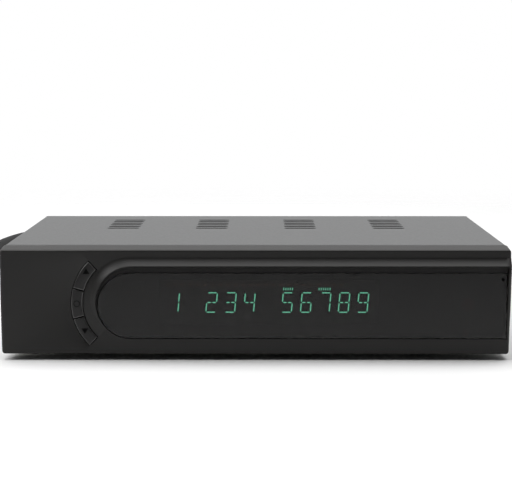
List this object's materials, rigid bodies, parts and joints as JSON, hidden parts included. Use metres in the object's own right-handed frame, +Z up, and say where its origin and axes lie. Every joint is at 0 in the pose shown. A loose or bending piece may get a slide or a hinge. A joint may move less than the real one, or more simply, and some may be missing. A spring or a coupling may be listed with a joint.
{
  "type": "satellite television receiver",
  "caption": "Flat set-top satellite receiver with a hooded smoked display window, an arc of push keys, and rear aerial, data, video, audio and mains connections.",
  "frame": {"origin": "centre of the receiver's own footprint, on the surface that its feet stand on; the mains cord, its coil and its plug aren't counted", "axes": "+X to the right seen from the front, the front panel faces -Y, +Z up"},
  "size_m": [0.2179, 0.219, 0.04],
  "materials": {
    "cover_paint": "fine textured black powder paint",
    "bare_steel": "bright tin-plated steel with a printed dot pattern",
    "front_plastic": "fine-grained satin black",
    "key_plastic": "satin black",
    "smoked_acrylic": "glossy smoked acrylic",
    "foot_rubber": "matt black",
    "black_screw": "black oxide",
    "nickel": "nickel plate",
    "zinc_screw": "zinc plate",
    "brass": "bright",
    "socket_plastic": "black moulding",
    "white_plastic": "white moulding",
    "pink_insulator": "moulded",
    "circuit_board": "green solder mask",
    "power_laminate": "tan laminate",
    "chip_plastic": "black epoxy",
    "heat_sink_metal": "natural anodised",
    "tin_can": "tinned",
    "display_glass": "evacuated glass tube",
    "lamp_plastic": "diffused red",
    "capacitor_sleeve": "shrunk sleeve",
    "filter_plastic": "yellow box",
    "ferrite": "ferrite grey",
    "wire_sleeve": "insulated wire",
    "cord_jacket": "satin black"
  },
  "bodies": {
    "receiver": {"top_cover": "cover_paint", "chassis_base": "bare_steel", "front_panel": "front_plastic", "display_lens": "smoked_acrylic", "rubber_feet": "foot_rubber", "cover_screws": "black_screw", "scart_screw": "nickel", "scart_washer": "nickel", "board_screws": "zinc_screw", "board_standoffs": "brass", "front_board_screws": "zinc_screw", "front_panel_screws": "zinc_screw", "switch_bodies": "chip_plastic", "front_board": "circuit_board", "display_tube": "display_glass", "ir_receiver": "chip_plastic", "status_led": "lamp_plastic", "ribbon_sockets": "white_plastic", "ribbon_cable": "white_plastic", "main_board": "circuit_board", "main_chip": "chip_plastic", "heat_sink": "heat_sink_metal", "memory_chips": "chip_plastic", "board_capacitors": "capacitor_sleeve", "power_inductors": "chip_plastic", "tuner_can": "tin_can", "f_barrel": "nickel", "f_insulator": "pink_insulator", "f_nut": "nickel", "f_washer": "nickel", "usb_shell": "nickel", "usb_tongue": "white_plastic", "hdmi_shell": "nickel", "hdmi_tongue": "socket_plastic", "rca_ring": "nickel", "rca_body": "socket_plastic", "scart_housing": "socket_plastic", "scart_contacts": "brass", "power_board": "power_laminate", "transformer_core": "ferrite", "transformer_winding": "filter_plastic", "mains_capacitor": "capacitor_sleeve", "line_choke": "ferrite", "safety_capacitors": "filter_plastic", "output_capacitors": "capacitor_sleeve", "fuse": "chip_plastic", "wire_sockets": "socket_plastic", "power_harness": "wire_sleeve", "strain_relief": "cord_jacket", "mains_cord": "cord_jacket", "cord_coil": "cord_jacket", "cord_tail": "cord_jacket", "plug_body": "cord_jacket", "plug_pins": "nickel"},
    "key_up": {"button_up": "key_plastic", "plunger_up": "chip_plastic"},
    "key_ok": {"button_ok": "key_plastic", "plunger_ok": "chip_plastic"},
    "key_down": {"button_down": "key_plastic", "plunger_down": "chip_plastic"}
  },
  "joints": [
    {"name": "press_up", "type": "slide", "parent": "receiver", "child": "key_up", "axis": [0, 1, 0], "range_m": [0, 0.0005], "stiffness_N_per_m": 1500},
    {"name": "press_ok", "type": "slide", "parent": "receiver", "child": "key_ok", "axis": [0, 1, 0], "range_m": [0, 0.0005], "stiffness_N_per_m": 1500},
    {"name": "press_down", "type": "slide", "parent": "receiver", "child": "key_down", "axis": [0, 1, 0], "range_m": [0, 0.0005], "stiffness_N_per_m": 1500}
  ]
}
